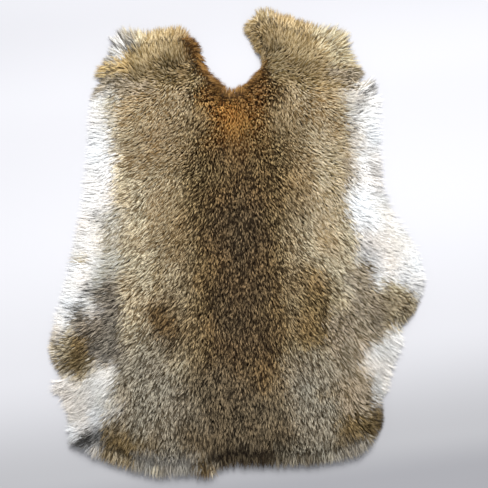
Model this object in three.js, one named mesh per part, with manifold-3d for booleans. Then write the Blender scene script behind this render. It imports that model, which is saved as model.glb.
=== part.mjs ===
// A rabbit skin pelt, laid fur side up: one tanned hide and the coat of hair that grows on it.
// Millimetres. +Y points to the head end, +X to the right seen from above, +Z up from the floor.
import * as THREE from "three";
import { ImprovedNoise } from "three/addons/math/ImprovedNoise.js";
import { mergeVertices } from "three/addons/utils/BufferGeometryUtils.js";
import Module from "manifold-3d";

const wasm = await Module();
wasm.setup();

// The hide, and its gap to the coat that lies on it
const HIDE_THICKNESS = 1.2;
const HIDE_POINTS = 200;
const CLEARANCE = 0.3;

// Points of a mesh that lie nearer than this are one
const WELD = 1e-4;

// The coat: its height over the floor, how it rounds off to the rim, and how far its solid body
// reaches from the hide's edge to the tips of the hair
const LOFT = 13;
const RIM_LOFT = 6.6;
const RIM_ROUND = 26;
const BODY_SHARE = 0.42;
const COAT_POINTS = 180;
const COAT_PITCH = 8.5;

// Soft tufts all over the coat, longer along the back than across it
const TUFT = { width: 21, length: 33, rise: 2 };

// Locks of hair round the rim, wherever the hair reaches far enough past the hide to part into locks
const LOCK_COUNT = 190;
const LEAST_REACH = 5;
const LOCK = { height: 6, width: 0.96, gap: 1.2, uneven: 0.14, sweep: 3.2, wave: 3.6, bow: 0.3 };
// Sections along a lock from its root: shares of its length, its root's width and its root's height
const LOCK_SECTIONS = [
  { along: 0, width: 1, height: 1 },
  { along: 0.56, width: 0.76, height: 0.62 },
];

// Where the fur ends, going clockwise seen from above. Each row gives the tip of the hair (x, y), the
// way in which it lies there (out, degrees from +X) and how far it reaches past the hide (reach).
const LEFT_CHEEK = [
  { at: "left cheek tip", x: -121, y: 144, out: 170, reach: 9 },
  { at: "left cheek side", x: -113, y: 161, out: 150, reach: 11 },
  { at: "left cheek corner", x: -102, y: 179, out: 125, reach: 13 },
  { at: "left cheek brow", x: -74, y: 181, out: 95, reach: 10 },
  { at: "left cheek crown", x: -49, y: 184, out: 80, reach: 9 },
];
const NECK_NOTCH = [
  { at: "left notch shoulder", x: -33, y: 173, out: 35, reach: 7 },
  { at: "left notch side", x: -27, y: 149, out: 15, reach: 4 },
  { at: "left notch bend", x: -17, y: 137, out: 45, reach: 3 },
  { at: "notch bottom", x: -6, y: 128, out: 85, reach: 3 },
  { at: "right notch bend", x: 11, y: 139, out: 135, reach: 3 },
  { at: "right notch side", x: 18, y: 152, out: 175, reach: 4 },
  { at: "right notch wall", x: 12, y: 167, out: 195, reach: 5 },
];
const RIGHT_CHEEK = [
  { at: "right cheek inner", x: 5, y: 184, out: 180, reach: 7 },
  { at: "right cheek crown", x: 21, y: 200, out: 95, reach: 9 },
  { at: "right cheek brow", x: 53, y: 190, out: 78, reach: 9 },
  { at: "right cheek corner", x: 89, y: 177, out: 50, reach: 11 },
  { at: "right cheek side", x: 97, y: 159, out: 10, reach: 9 },
  { at: "right cheek tip", x: 109, y: 144, out: 5, reach: 10 },
];
const RIGHT_FLANK = [
  { at: "right nick", x: 107, y: 137, out: 0, reach: 9 },
  { at: "right rim tuft", x: 120, y: 138, out: 40, reach: 14 },
  { at: "right fore flank", x: 125, y: 116, out: 5, reach: 15 },
  { at: "right mid flank", x: 125, y: 77, out: -5, reach: 16 },
  { at: "right hind flank", x: 131, y: 33, out: -15, reach: 16 },
];
const RIGHT_LEG = [
  { at: "right leg front", x: 150, y: 1, out: -15, reach: 15 },
  { at: "right leg tip", x: 162, y: -31, out: -12, reach: 11 },
  { at: "right leg back", x: 153, y: -62, out: -45, reach: 9 },
  { at: "right leg nick", x: 142, y: -74, out: -55, reach: 10 },
  { at: "right fluff top", x: 142, y: -91, out: -40, reach: 15 },
  { at: "right fluff", x: 132, y: -122, out: -35, reach: 14 },
  { at: "right rump nick", x: 125, y: -140, out: -30, reach: 9 },
];
const RUMP = [
  { at: "right rump corner", x: 126, y: -156, out: -25, reach: 8 },
  { at: "right rump", x: 106, y: -180, out: -70, reach: 9 },
  { at: "rump right", x: 70, y: -190, out: -88, reach: 10 },
  { at: "rump", x: 21, y: -191, out: -90, reach: 10 },
  { at: "tail base right", x: -13, y: -192, out: -88, reach: 9 },
  { at: "tail tuft", x: -27, y: -203, out: -85, reach: 13 },
  { at: "tail base left", x: -40, y: -199, out: -95, reach: 10 },
  { at: "rump left", x: -74, y: -200, out: -95, reach: 11 },
  { at: "left rump", x: -113, y: -185, out: -112, reach: 9 },
  { at: "left rump corner", x: -146, y: -172, out: -150, reach: 10 },
];
const LEFT_LEG = [
  { at: "left rump side", x: -147, y: -156, out: 190, reach: 11 },
  { at: "left fluff low", x: -151, y: -138, out: 212, reach: 16 },
  { at: "left fluff", x: -162, y: -128, out: 205, reach: 19 },
  { at: "left leg nick", x: -151, y: -119, out: 215, reach: 12 },
  { at: "left leg back", x: -160, y: -106, out: 205, reach: 10 },
  { at: "left leg tip", x: -163, y: -89, out: 180, reach: 10 },
  { at: "left leg front", x: -154, y: -50, out: 172, reach: 13 },
];
const LEFT_FLANK = [
  { at: "left hind flank", x: -141, y: 3, out: 172, reach: 15 },
  { at: "left mid flank", x: -134, y: 43, out: 180, reach: 15 },
  { at: "left fore flank", x: -130, y: 94, out: 180, reach: 14 },
  { at: "left rim", x: -128, y: 117, out: 178, reach: 12 },
  { at: "left lower tip", x: -122, y: 128, out: 185, reach: 8 },
  { at: "left tip nick", x: -119, y: 136, out: 180, reach: 8 },
];
const RIM = [
  ...LEFT_CHEEK,
  ...NECK_NOTCH,
  ...RIGHT_CHEEK,
  ...RIGHT_FLANK,
  ...RIGHT_LEG,
  ...RUMP,
  ...LEFT_LEG,
  ...LEFT_FLANK,
];

// Rounded swells of the coat: centre, half-length along the way it is turned, half-width, and rise.
const SWELLS = [
  { at: "back", x: 2, y: -14, turn: 90, along: 135, across: 42, rise: 2.4 },
  { at: "left shoulder", x: -66, y: 92, turn: 80, along: 42, across: 32, rise: 1.6 },
  { at: "right shoulder", x: 58, y: 94, turn: 100, along: 44, across: 30, rise: 1.6 },
  { at: "left cheek", x: -72, y: 161, turn: 0, along: 40, across: 15, rise: 2.2 },
  { at: "right cheek", x: 52, y: 166, turn: -15, along: 42, across: 18, rise: 2.2 },
  { at: "left leg", x: -142, y: -88, turn: 78, along: 26, across: 17, rise: 4 },
  { at: "right leg", x: 138, y: -50, turn: 20, along: 23, across: 17, rise: 4 },
  { at: "left hip", x: -64, y: -72, turn: 90, along: 26, across: 20, rise: 1.4 },
  { at: "right hip", x: 72, y: -72, turn: 90, along: 26, across: 20, rise: 1.4 },
  { at: "left haunch", x: -82, y: -138, turn: 100, along: 40, across: 34, rise: 2.4 },
  { at: "right haunch", x: 74, y: -138, turn: 80, along: 40, across: 32, rise: 2.4 },
];

// Hollows where the hair parts: a trough from one point to another, its half-width and depth.
const PARTINGS = [
  { at: "under left cheek", from: [-108, 138], to: [-34, 133], width: 8, depth: 3.4 },
  { at: "under right cheek", from: [40, 139], to: [100, 138], width: 8, depth: 3 },
  { at: "left flank", from: [-112, 108], to: [-112, -20], width: 9, depth: 2.6 },
  { at: "right flank", from: [100, 108], to: [108, -20], width: 9, depth: 2.6 },
  { at: "inside left leg", from: [-118, -40], to: [-116, -102], width: 9, depth: 4.4 },
  { at: "inside right leg", from: [113, -18], to: [114, -74], width: 9, depth: 3.8 },
  { at: "behind left leg", from: [-140, -116], to: [-108, -106], width: 7, depth: 3.4 },
  { at: "behind right leg", from: [116, -78], to: [142, -74], width: 7, depth: 3.2 },
  { at: "down the rump", from: [-14, -120], to: [-18, -188], width: 11, depth: 1.8 },
];

const MATERIALS = {
  skin: new THREE.MeshStandardMaterial({ color: 0xe6dcc8, roughness: 0.85, metalness: 0 }),
  fur: new THREE.MeshStandardMaterial({ color: 0x8a7658, roughness: 1, metalness: 0 }),
};

// A closed curve through the rim's rows, so far along the hair: 0 at the hide's edge, 1 at the tips.
function rimCurve(share) {
  const points = RIM.map(({ x, y, out, reach }) => {
    const lie = THREE.MathUtils.degToRad(out);
    const back = reach * (1 - share);
    return new THREE.Vector3(x - back * Math.cos(lie), y - back * Math.sin(lie), 0);
  });
  return new THREE.CatmullRomCurve3(points, true, "centripetal");
}

// A point on a closed clockwise curve, moved outwards by a margin. One turn of the curve is u from 0 to 1.
function rimPoint(curve, u, margin = 0) {
  const turn = THREE.MathUtils.euclideanModulo(u, 1);
  const point = curve.getPointAt(turn);
  const along = curve.getTangentAt(turn);
  return new THREE.Vector2(point.x - margin * along.y, point.y + margin * along.x);
}

function outline(curve, count) {
  return Array.from({ length: count }, (_, i) => rimPoint(curve, i / count));
}

// A closed mesh as a solid that can be cut and joined.
function solidOf(geometry) {
  const plain = geometry.clone();
  plain.deleteAttribute("normal");
  plain.deleteAttribute("uv");
  const merged = mergeVertices(plain, WELD);
  return new wasm.Manifold(
    new wasm.Mesh({
      numProp: 3,
      vertProperties: merged.attributes.position.array,
      triVerts: new Uint32Array(merged.index.array),
    }),
  );
}

function geometryOf(solid) {
  const { vertProperties, triVerts } = solid.getMesh();
  const geometry = new THREE.BufferGeometry();
  geometry.setAttribute("position", new THREE.BufferAttribute(new Float32Array(vertProperties), 3));
  geometry.setIndex(new THREE.BufferAttribute(new Uint32Array(triVerts), 1));
  geometry.computeVertexNormals();
  return geometry;
}

// A flat plate of the given outline between two heights.
function plate(points, bottom, top) {
  const options = { depth: top - bottom, bevelEnabled: false };
  return new THREE.ExtrudeGeometry(new THREE.Shape(points), options).translate(0, 0, bottom);
}

// Distance from a point to the segment between a and b.
function segmentDistance(x, y, a, b) {
  const dx = b.x - a.x;
  const dy = b.y - a.y;
  const t = THREE.MathUtils.clamp(((x - a.x) * dx + (y - a.y) * dy) / (dx * dx + dy * dy), 0, 1);
  return Math.hypot(x - a.x - t * dx, y - a.y - t * dy);
}

function rimDistance(x, y, points) {
  const distances = points.map((a, i) => segmentDistance(x, y, a, points[(i + 1) % points.length]));
  return Math.min(...distances);
}

// Whether a point lies within a closed outline: a line from it then crosses the outline an odd number
// of times.
function isWithin(x, y, points) {
  const crossed = points.filter((a, i) => {
    const b = points[(i + 1) % points.length];
    return a.y > y !== b.y > y && x < a.x + ((y - a.y) * (b.x - a.x)) / (b.y - a.y);
  });
  return crossed.length % 2 === 1;
}

const bell = (share) => Math.exp(-share * share);

function swell(x, y, row) {
  const turn = THREE.MathUtils.degToRad(row.turn);
  const along = (x - row.x) * Math.cos(turn) + (y - row.y) * Math.sin(turn);
  const across = (y - row.y) * Math.cos(turn) - (x - row.x) * Math.sin(turn);
  return row.rise * bell(Math.hypot(along / row.along, across / row.across));
}

function parting(x, y, row) {
  const from = new THREE.Vector2(...row.from);
  const to = new THREE.Vector2(...row.to);
  return row.depth * bell(segmentDistance(x, y, from, to) / row.width);
}

// Height of the coat over the floor: full in the middle, round to the rim, with its swells and partings.
// Past the rim it falls on as it rose within, so that the cut edge comes out even.
const tufts = new ImprovedNoise();
function coatHeight(x, y, edge) {
  const inward = Math.min(rimDistance(x, y, edge) / RIM_ROUND, 1);
  const rounded = (LOFT - RIM_LOFT) * Math.sin((inward * Math.PI) / 2);
  if (!isWithin(x, y, edge)) return Math.max(RIM_LOFT - rounded, HIDE_THICKNESS);
  let rise = TUFT.rise * tufts.noise(x / TUFT.width, y / TUFT.length, 0);
  SWELLS.forEach((row) => (rise += swell(x, y, row)));
  PARTINGS.forEach((row) => (rise -= parting(x, y, row)));
  return RIM_LOFT + rounded + rise * inward;
}

// The coat's body: an even grid raised to its height, cut to the outline and clear of the hide below.
function coatBody(edge) {
  const box = new THREE.Box2().setFromPoints(edge).expandByScalar(COAT_PITCH);
  const size = box.getSize(new THREE.Vector2());
  const middle = box.getCenter(new THREE.Vector2());
  const columns = Math.ceil(size.x / COAT_PITCH);
  const rows = Math.ceil(size.y / COAT_PITCH);
  const geometry = new THREE.BoxGeometry(size.x, size.y, 1, columns, rows, 1);
  geometry.translate(middle.x, middle.y, 0);
  const position = geometry.attributes.position;
  for (let i = 0; i < position.count; i++) {
    const raised = position.getZ(i) > 0;
    position.setZ(i, raised ? coatHeight(position.getX(i), position.getY(i), edge) : 0);
  }
  const cut = plate(edge, HIDE_THICKNESS + CLEARANCE, 2 * LOFT);
  return solidOf(geometry).intersect(solidOf(cut));
}

// One lock: a three-sided tapering tress, its underside level on the floor and its ridge running down
// from its root, which follows the hide's edge from one corner to the other.
function lock(corners, tip, bow) {
  const root = corners[0].clone().lerp(corners[1], 0.5);
  const half = corners[1].clone().sub(root);
  const vertices = LOCK_SECTIONS.flatMap((section) => {
    const middle = root.clone().lerp(tip, section.along).addScaledVector(half, bow * section.along);
    const right = middle.clone().addScaledVector(half, section.width);
    const left = middle.clone().addScaledVector(half, -section.width);
    return [left.x, left.y, 0, right.x, right.y, 0, middle.x, middle.y, LOCK.height * section.height];
  });
  vertices.push(tip.x, tip.y, 0);
  const faces = [0, 1, 2];
  for (let k = 0; k < 3; k++) {
    const next = (k + 1) % 3;
    faces.push(k, k + 3, next, next, k + 3, next + 3);
    faces.push(k + 3, 6, next + 3);
  }
  const geometry = new THREE.BufferGeometry();
  geometry.setAttribute("position", new THREE.Float32BufferAttribute(vertices, 3));
  geometry.setIndex(faces);
  return geometry;
}

// The locks stand side by side round the hide's edge, a little clear of it. Neighbours lean the same
// way in slow waves, so that they stand apart, and each is uneven in reach and bow.
function rimLocks(hideEdge, furEdge) {
  const uneven = (amount) => amount * (2 * THREE.MathUtils.seededRandom() - 1);
  const locks = [];
  for (let i = 0; i < LOCK_COUNT; i++) {
    const t = hideEdge.getUtoTmapping(i / LOCK_COUNT);
    const from = hideEdge.getPoint(t);
    const reach = furEdge.getPoint(t).sub(from);
    const sweep = LOCK.sweep * tufts.noise(i / LOCK.wave, 0, 0);
    const stretch = 1 + uneven(LOCK.uneven);
    if (reach.length() < LEAST_REACH) continue;
    const side = new THREE.Vector2(-reach.y, reach.x).normalize();
    const tip = new THREE.Vector2(from.x, from.y).addScaledVector(reach, stretch);
    tip.addScaledVector(side, sweep);
    const corners = [-0.5, 0.5].map((half) =>
      rimPoint(hideEdge, (i + half * LOCK.width) / LOCK_COUNT, LOCK.gap),
    );
    locks.push(lock(corners, tip, uneven(LOCK.bow)));
  }
  return locks;
}

function hide(hideEdge) {
  const sheet = plate(outline(hideEdge, HIDE_POINTS), 0, HIDE_THICKNESS);
  return new THREE.Mesh(geometryOf(solidOf(sheet)), MATERIALS.skin);
}

// The coat covers the hide and hangs over its edge, where its locks come down to the floor.
function coat(hideEdge, furEdge) {
  const body = coatBody(outline(rimCurve(BODY_SHARE), COAT_POINTS));
  const locks = rimLocks(hideEdge, furEdge).map(solidOf);
  const whole = locks.reduce((sum, tress) => sum.add(tress), body);
  return new THREE.Mesh(geometryOf(whole), MATERIALS.fur);
}

const hideEdge = rimCurve(0);
const furEdge = rimCurve(1);
const pelt = new THREE.Group();
const skin = hide(hideEdge);
skin.name = "skin";
const fur = coat(hideEdge, furEdge);
fur.name = "fur";
pelt.add(skin, fur);

// The origin is the middle of the pelt's footprint, on the floor.
const box = new THREE.Box3().setFromObject(pelt);
const middle = box.getCenter(new THREE.Vector3());
pelt.position.set(-middle.x, -middle.y, -box.min.z);

export default pelt;
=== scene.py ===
"""A rabbit skin pelt, laid fur side up on a pale floor: its tanned hide, its underfur and its hair.

Sizes and places are in millimetres, seen from above with the head end up. A table's places are
measured from DATUM, and everything else from the frame's own origin. ``mesh_object`` turns
millimetres to Blender's metres.
"""

import logging
import math
from abc import ABC, abstractmethod
from dataclasses import dataclass, field
from enum import Enum

import bpy
import numpy as np
from bpy.types import ID, Material, Mesh, Node, NodeSocket, NodeTree, Object
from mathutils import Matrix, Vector
from mathutils.bvhtree import BVHTree
from mathutils.geometry import delaunay_2d_cdt


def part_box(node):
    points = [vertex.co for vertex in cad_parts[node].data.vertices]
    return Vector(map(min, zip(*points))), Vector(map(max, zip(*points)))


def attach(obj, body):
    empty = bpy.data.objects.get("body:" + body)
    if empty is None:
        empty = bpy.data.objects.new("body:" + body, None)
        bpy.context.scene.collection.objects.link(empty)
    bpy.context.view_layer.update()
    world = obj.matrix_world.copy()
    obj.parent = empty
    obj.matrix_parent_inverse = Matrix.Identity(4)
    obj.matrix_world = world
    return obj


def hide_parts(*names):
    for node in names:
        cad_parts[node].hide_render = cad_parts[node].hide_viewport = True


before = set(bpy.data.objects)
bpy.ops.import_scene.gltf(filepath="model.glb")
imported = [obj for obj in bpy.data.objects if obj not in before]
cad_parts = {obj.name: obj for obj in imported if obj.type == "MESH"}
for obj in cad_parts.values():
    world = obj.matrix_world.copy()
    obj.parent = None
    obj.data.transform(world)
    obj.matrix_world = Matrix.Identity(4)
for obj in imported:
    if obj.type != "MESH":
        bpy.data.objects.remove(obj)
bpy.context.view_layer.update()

MM = 0.001
DATUM = np.array([0.5, 1.4])
UP = np.array([0.0, 0.0, 1.0])

# A hair's stretches of colour, from root to tip
HAIR_PARTS = ("under", "band", "tip")

log = logging.getLogger("pelt")


# Colours and noise


def linear(hex_colour: str) -> np.ndarray:
    """Turns an sRGB hex colour to linear light.

    Args:
        hex_colour: Six hex digits, with or without a leading hash.

    Returns:
        Red, green and blue from 0 to 1.
    """
    digits = hex_colour.lstrip("#")
    srgb = np.array([int(digits[i : i + 2], 16) for i in (0, 2, 4)]) / 255
    return np.where(srgb <= 0.04045, srgb / 12.92, ((srgb + 0.055) / 1.055) ** 2.4)


def smooth_step(share: np.ndarray) -> np.ndarray:
    """Eases a share from 0 to 1, flat at both ends."""
    held = np.clip(share, 0, 1)
    return held * held * (3 - 2 * held)


@dataclass(frozen=True)
class SoftNoise:
    """Smooth random values from -1 to 1 over the plane.

    Args:
        seed: Picks the pattern.
        width: Size of its features across the pelt.
        length: Size of its features along the pelt.
    """

    seed: int
    width: float
    length: float

    # Places along each side of the lattice, after which the pattern repeats
    SIDE = 256

    def at(self, points: np.ndarray) -> np.ndarray:
        """Gives the noise at each point.

        Args:
            points: Places in the plane, one a row.

        Returns:
            One value a point.
        """
        lattice = np.random.default_rng(self.seed).uniform(-1, 1, (self.SIDE, self.SIDE))
        cell = points / (self.width, self.length) + self.SIDE / 2
        low = np.floor(cell).astype(int)
        ease = smooth_step(cell - low)
        x, y = low.T % self.SIDE
        nx, ny = (low.T + 1) % self.SIDE
        near = lattice[x, y] * (1 - ease[:, 0]) + lattice[nx, y] * ease[:, 0]
        far = lattice[x, ny] * (1 - ease[:, 0]) + lattice[nx, ny] * ease[:, 0]
        return near * (1 - ease[:, 1]) + far * ease[:, 1]


# The coat's colours


@dataclass(frozen=True)
class Dye:
    """How the hair of one part of the coat is coloured along its length.

    Args:
        under: The underfur by the skin.
        band: The pale band below the tip.
        tip: The tip itself.
        dark: Share of the tufts whose guard hairs are dark.
    """

    under: str
    band: str
    tip: str
    dark: float


class Coat(Enum):
    """The kinds of hair on the pelt."""

    FLANK = Dye("#524736", "#e6d9ba", "#756243", 0.45)
    STRAW = Dye("#605647", "#cfc0a3", "#9a8762", 0.42)
    SHOULDER = Dye("#554836", "#bead8d", "#876e47", 0.45)
    INNER = Dye("#241b11", "#ad9366", "#30210c", 0.56)
    SADDLE = Dye("#1c130b", "#997e56", "#23170a", 0.62)
    SADDLE_DARK = Dye("#19110a", "#8f7858", "#1f1408", 0.66)
    NAPE = Dye("#402b16", "#b2874a", "#774b1f", 0.47)
    NOTCH = Dye("#34230f", "#7c5c31", "#482e12", 0.48)
    CHEEK = Dye("#534734", "#baa680", "#79643c", 0.48)
    CREAM = Dye("#74674f", "#c9bfa1", "#947f57", 0.4)
    GOLD = Dye("#68573e", "#d3b985", "#9e8251", 0.4)
    GREYTAN = Dye("#484033", "#bcad96", "#5f5239", 0.46)
    SILVER = Dye("#383125", "#bbb29e", "#4b402e", 0.48)
    RUMP = Dye("#131008", "#8d7c61", "#181107", 0.52)
    # Slate brown hair of the rump's edge, darkened further with painted shade where the coat curls over to
    # the floor
    RUMP_EDGE = Dye("#17100b", "#625744", "#1d140d", 0.54)
    RUST = Dye("#2e2313", "#98825a", "#3e311b", 0.5)
    LEG = Dye("#40372b", "#d3c4a5", "#5e4f33", 0.46)
    GREY = Dye("#6e675c", "#cecabe", "#968c74", 0.42)
    SLATE_BROWN = Dye("#3a362f", "#a79c8b", "#49433a", 0.5)
    SLATE = Dye("#333231", "#7b7975", "#3d3c3a", 0.6)
    TAIL = Dye("#2a2318", "#827153", "#3a2d1b", 0.5)
    FROST = Dye("#65625d", "#a09c93", "#736f67", 0.36)
    WHITE = Dye("#ebe9e5", "#ecebe9", "#e9e7e5", 0.1)
    FLUFF = Dye("#d0cdc6", "#e4e1dc", "#d0cdc5", 0.2)


@dataclass(frozen=True)
class Patch:
    """A soft-edged area of the coat, painted over those before it.

    Args:
        name: What part of the pelt it is.
        coat: The hair that grows there.
        start: One end of its middle line, from DATUM.
        end: The other end.
        half: Half of its width, inside the soft edge. Below 0 even its middle is covered in part only.
        soft: Width of the soft edge.
    """

    name: str
    coat: Coat
    start: tuple[float, float]
    end: tuple[float, float]
    half: float
    soft: float

    def cover(self, points: np.ndarray) -> np.ndarray:
        """Says how much of the patch each point has.

        Args:
            points: Places in the plane, one a row.

        Returns:
            One share a point, from 0 to 1.
        """
        start = np.array(self.start) + DATUM
        along = np.array(self.end) + DATUM - start
        share = np.clip((points - start) @ along / (along @ along), 0, 1)
        away = np.linalg.norm(points - start - share[:, None] * along, axis=1)
        return 1 - smooth_step((away - self.half) / self.soft)


PATCHES = (
    Patch("body", Coat.FLANK, (-7, 105), (-7, -70), 96, 8),
    Patch("hind body", Coat.FLANK, (3, -90), (6, -150), 99, 12),
    Patch("left shoulder", Coat.SHOULDER, (-76, 120), (-64, 82), 16, 32),
    Patch("left side", Coat.SHOULDER, (-62, 34), (-58, 2), 8, 24),
    Patch("right shoulder", Coat.SHOULDER, (62, 128), (63, 60), 18, 34),
    Patch("right flank", Coat.STRAW, (79, 78), (83, 0), 6, 17),
    Patch("beside the back", Coat.INNER, (0, 66), (3, -135), 29, 44),
    Patch("back between the shoulders", Coat.SADDLE, (-1, 76), (0, 30), 5, 24),
    Patch("back", Coat.SADDLE, (1, 30), (2, -118), 13, 34),
    Patch("darkest stretch of the back", Coat.SADDLE_DARK, (2, 14), (5, -88), 5, 32),
    Patch("left of the nape", Coat.INNER, (-35, 144), (-24, 108), 3, 22),
    Patch("right of the nape", Coat.INNER, (31, 147), (22, 108), 2, 22),
    Patch("nape", Coat.NAPE, (-5, 134), (-2, 103), 4, 36),
    Patch("left cheek", Coat.CHEEK, (-92, 157), (-42, 162), 28, 8),
    Patch("right cheek", Coat.CHEEK, (30, 170), (78, 158), 29, 8),
    Patch("left side of the notch", Coat.NOTCH, (-36, 174), (-28, 150), 2, 9),
    Patch("left bend of the notch", Coat.NOTCH, (-28, 148), (-8, 125), 4, 9),
    Patch("right side of the notch", Coat.NOTCH, (17, 144), (-1, 125), 3, 9),
    Patch("left cheek's edge", Coat.CREAM, (-107, 176), (-92, 182), 5, 12),
    Patch("left cheek's corner", Coat.GOLD, (-119, 144), (-103, 150), 4, 12),
    Patch("right cheek's edge", Coat.CREAM, (84, 175), (99, 152), 7, 13),
    Patch("left cheek's dark lines", Coat.INNER, (-62, 154), (-42, 147), -1, 7),
    Patch("pale hair in the left cheek", Coat.FROST, (-110, 164), (-99, 178), 3, 10),
    Patch("white streak in the left cheek", Coat.WHITE, (-107, 160), (-104, 182), -1, 7),
    Patch("slate streak in the left cheek", Coat.SLATE, (-99, 177), (-91, 162), -1, 4),
    Patch("parting under the left cheek", Coat.GREYTAN, (-119, 132), (-82, 131), 3, 9),
    Patch("right cheek's tip", Coat.GREYTAN, (83, 142), (106, 142), 4, 7),
    Patch("over the left hip", Coat.FLANK, (-94, -52), (-88, -108), 4, 16),
    Patch("above the left hip", Coat.INNER, (-74, -22), (-70, -40), -3, 14),
    Patch("left hip", Coat.SADDLE, (-66, -66), (-60, -82), 6, 22),
    Patch("right hip", Coat.INNER, (68, -44), (68, -82), 6, 24),
    Patch("left haunch", Coat.SILVER, (-85, -122), (-57, -152), 18, 34),
    Patch("right haunch", Coat.SILVER, (68, -128), (80, -161), 14, 30),
    Patch("left fluff", Coat.FLUFF, (-122, -112), (-143, -140), 13, 9),
    Patch("right fluff", Coat.FLUFF, (126, -88), (131, -128), 9, 8),
    Patch("lower rump", Coat.SILVER, (-95, -174), (98, -170), 22, 10),
    Patch("rump", Coat.RUMP, (-19, -135), (21, -161), 14, 32),
    Patch("rump above the tail", Coat.RUMP, (-38, -171), (-12, -174), 5, 18),
    # The rump's edge: slate hair, with painted shade where the coat curls over
    Patch("slate hair at the rump's edge", Coat.RUMP_EDGE, (20, -193), (82, -193), 1, 11),
    Patch("rump's edge", Coat.RUMP_EDGE, (-16, -187), (20, -190), 3, 11),
    Patch("left rump corner", Coat.RUST, (-110, -172), (-80, -183), 1, 24),
    Patch("slate at the left rump corner", Coat.SLATE, (-139, -176), (-121, -167), 4, 6),
    Patch("brown hair in the right haunch", Coat.RUST, (74, -130), (96, -134), -8, 20),
    Patch("right rump corner", Coat.RUST, (98, -163), (120, -155), 4, 18),
    Patch("brown border above the right rump corner", Coat.RUST, (111, -130), (118, -150), 0, 10),
    Patch("right rump corner's rim", Coat.RUMP_EDGE, (127, -146), (122, -162), 1, 6),
    Patch("frost at the rump's edge", Coat.FROST, (-80, -194), (-36, -198), 1, 16),
    Patch("pale right end of the rump", Coat.FROST, (88, -191), (112, -184), 1, 13),
    Patch("tail tuft", Coat.TAIL, (-30, -194), (-25, -203), 4, 4),
    Patch("left leg", Coat.LEG, (-147, -88), (-140, -104), 11, 12),
    Patch("upper end of the left leg", Coat.SLATE_BROWN, (-138, -62), (-126, -78), 3, 9),
    Patch("left leg's dark core", Coat.RUST, (-129, -88), (-140, -106), 4, 10),
    Patch("right leg", Coat.LEG, (123, -58), (141, -60), 15, 7),
    Patch("right leg's pale rim", Coat.CREAM, (128, -38), (142, -42), 1, 5),
    Patch("left grey", Coat.GREY, (-110, 14), (-118, -46), 4, 18),
    Patch("left dark grey", Coat.SLATE_BROWN, (-115, -50), (-111, -94), 7, 12),
    Patch("right flank's foot", Coat.FLANK, (89, 12), (104, -42), 3, 9),
    Patch("right dark grey", Coat.GREYTAN, (106, -33), (114, -79), 7, 9),
    Patch("right hind border", Coat.GREYTAN, (92, -75), (102, -135), 6, 14),
    Patch("grey at the top of the left rim", Coat.GREY, (-113, 118), (-109, 100), 3, 8),
    Patch("cream fleck in the left rim", Coat.CREAM, (-139, -11), (-135, -17), 0, 5),
    Patch("tuft at the right rim", Coat.SLATE, (108, 121), (119, 136), 0, 4),
    Patch("slate border of the right shoulder", Coat.SLATE, (105, 120), (100, 92), -2, 6),
    Patch("grey border of the right flank", Coat.SLATE_BROWN, (93, 66), (96, 38), -2, 6),
    # Painted shade: greyer hair that tones down the stronger light on the white rim's low end
    Patch("low end of the right rim", Coat.FLUFF, (128, 20), (136, -20), 2, 18),
    Patch("slate parting in the right rim", Coat.SLATE, (113, 72), (121, 47), -1, 3),
    Patch("slate parting in the right rim, lower", Coat.SLATE, (121, 47), (129, 30), -1, 3),
    Patch("slate parting by the right leg", Coat.SLATE, (103, 4), (119, -34), -1, 4),
    Patch("slate spots in the left rim", Coat.SLATE, (-127, 24), (-119, 19), 0, 3),
    Patch("slate spots by the left leg", Coat.SLATE, (-142, -58), (-129, -42), 1, 4),
)


@dataclass(frozen=True)
class CoatColours:
    """Paints the patches, with ragged borders, and mottles them.

    Args:
        ground: The coat where no patch is.
        drift: How far the patches' borders wander.
        crisp: Width of a patch's soft edge below which its border wanders less.
        drift_noise: The wandering, coarse and fine, for x and y.
        mottle: How much the coat's lightness and warmth vary from place to place.
        mottle_noise: The places that are lighter, and those that are warmer.
    """

    ground: Coat = Coat.WHITE
    drift: float = 7.0
    crisp: float = 14.0
    drift_noise: tuple[SoftNoise, ...] = (
        SoftNoise(31, 14, 20),
        SoftNoise(32, 14, 20),
        SoftNoise(33, 4, 7),
        SoftNoise(34, 4, 7),
    )
    mottle: float = 0.17
    mottle_noise: tuple[SoftNoise, SoftNoise] = (SoftNoise(35, 8, 13), SoftNoise(36, 12, 18))

    def at(self, points: np.ndarray) -> dict[str, np.ndarray]:
        """Gives the hair's colours at each point.

        Args:
            points: Places in the plane, one a row.

        Returns:
            Linear colours under "under", "band" and "tip", and the share of dark tufts under "dark".
        """
        coarse_x, coarse_y, fine_x, fine_y = (noise.at(points) for noise in self.drift_noise)
        fine = points + self.drift / 2 * np.column_stack((fine_x, fine_y))
        coarse = self.drift * np.column_stack((coarse_x, coarse_y))
        values = np.tile(self.row(self.ground), (len(points), 1))
        for patch in PATCHES:
            cover = patch.cover(fine + coarse * min(patch.soft / self.crisp, 1))[:, None]
            values += (self.row(patch.coat) - values) * cover
        light, warmth = (self.mottle * noise.at(points) for noise in self.mottle_noise)
        tint = np.column_stack((light + warmth / 4, light, light - warmth / 4))
        values[:, 3:9] *= np.exp(np.tile(tint, 2))
        parts = np.split(values[:, :9], 3, axis=1)
        return {**dict(zip(HAIR_PARTS, parts)), "dark": values[:, 9]}

    @staticmethod
    def row(coat: Coat) -> np.ndarray:
        """Lays out a coat's colours and its dark share as one row of numbers."""
        dye = coat.value
        return np.concatenate((linear(dye.under), linear(dye.band), linear(dye.tip), [dye.dark]))


# How the hair lies


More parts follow.
